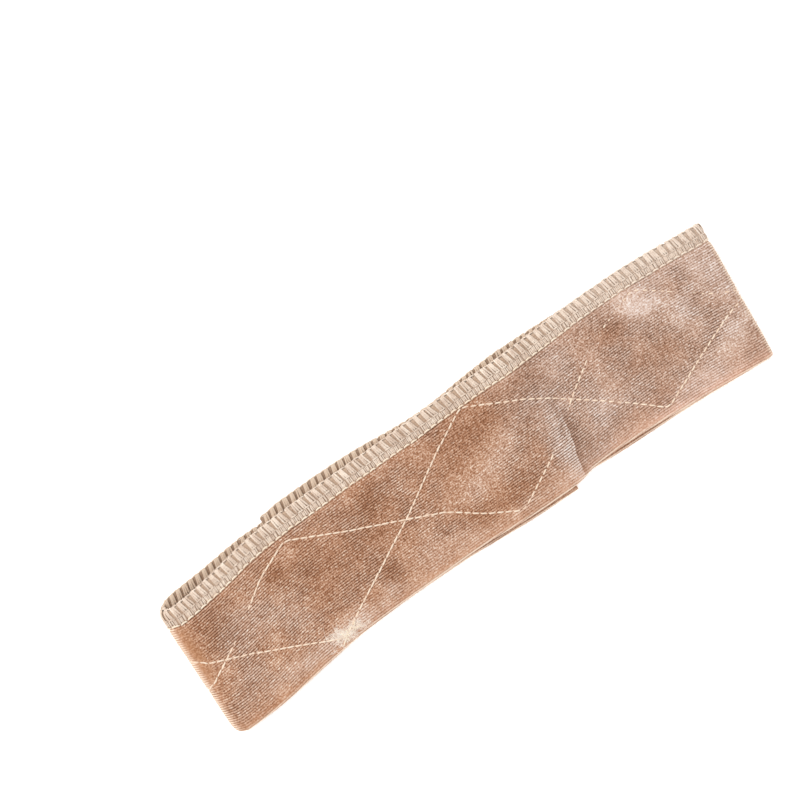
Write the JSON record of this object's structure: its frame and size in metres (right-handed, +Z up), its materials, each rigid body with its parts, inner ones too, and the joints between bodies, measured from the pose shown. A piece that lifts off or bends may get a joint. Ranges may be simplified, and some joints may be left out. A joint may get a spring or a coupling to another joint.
{
  "type": "wig grip band",
  "caption": "Velvet headband that keeps a wig from slipping: a closed loop of doubled stretch velvet with an overlocked edge and zigzag quilting, folded flat.",
  "frame": {"origin": "under the middle of the folded band, on the surface that it lies on", "axes": "+X along the band from the loose fold to the tight fold, +Y across it towards the overlocked edge, +Z up"},
  "size_m": [0.2746, 0.0698, 0.0108],
  "materials": {
    "velvet": "tan brown stretch velvet with a rosy sheen",
    "overlock_thread": "light taupe overlock thread",
    "closure_tape": "tan hook and loop tape"
  },
  "bodies": {
    "root": {"velvet_band": "velvet", "overlock_edge": "overlock_thread", "hook_and_loop_closure": "closure_tape"}
  },
  "joints": []
}
